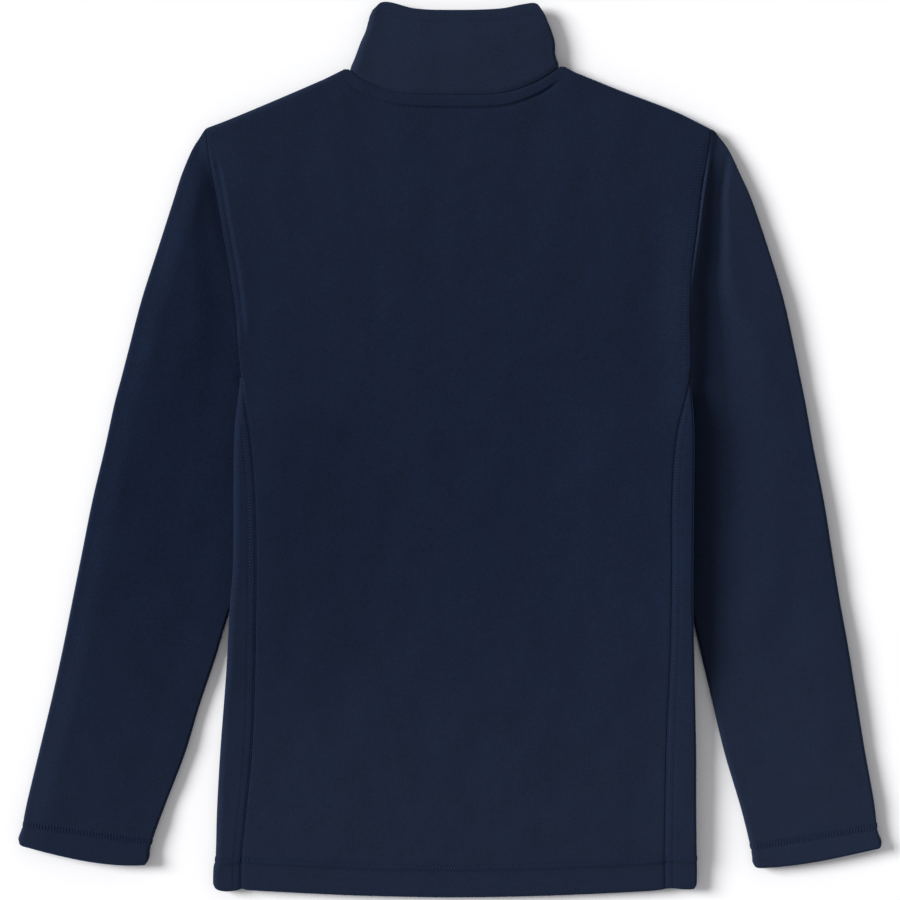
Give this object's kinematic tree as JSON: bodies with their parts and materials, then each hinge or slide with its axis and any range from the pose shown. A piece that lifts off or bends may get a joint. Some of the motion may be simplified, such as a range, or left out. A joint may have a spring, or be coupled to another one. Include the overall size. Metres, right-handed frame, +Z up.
{
  "type": "fleece zip jacket",
  "caption": "Fleece jacket with a stand collar, side panels and a full-length separating zip, laid flat on its front with its back up.",
  "frame": {"origin": "on the table, in the middle of the laid-out garment's footprint", "axes": "+X to the right as the back is looked at from above, +Y from the hem towards the collar, +Z up from the table"},
  "size_m": [0.6888, 0.7161, 0.0157],
  "materials": {
    "fleece": "brushed matte navy fleece",
    "zip_tape": "woven matte navy tape",
    "zip_metal": "satin gunmetal plate",
    "zip_plastic": "moulded satin navy"
  },
  "bodies": {
    "jacket": {"back": "fleece", "front_left": "fleece", "front_right": "fleece", "side_left": "fleece", "side_right": "fleece", "sleeve_left": "fleece", "sleeve_right": "fleece", "collar": "fleece", "zip_tape_left": "zip_tape", "zip_tape_right": "zip_tape", "zip_slider": "zip_metal", "zip_box": "zip_plastic"},
    "pull": {"zip_pull": "zip_metal"}
  },
  "joints": [
    {"name": "pull_swing", "type": "hinge", "parent": "jacket", "child": "pull", "pos_m": [0.005, 0.319, 0.00195], "axis": [1, 0, 0], "range_deg": [0, 170]}
  ]
}
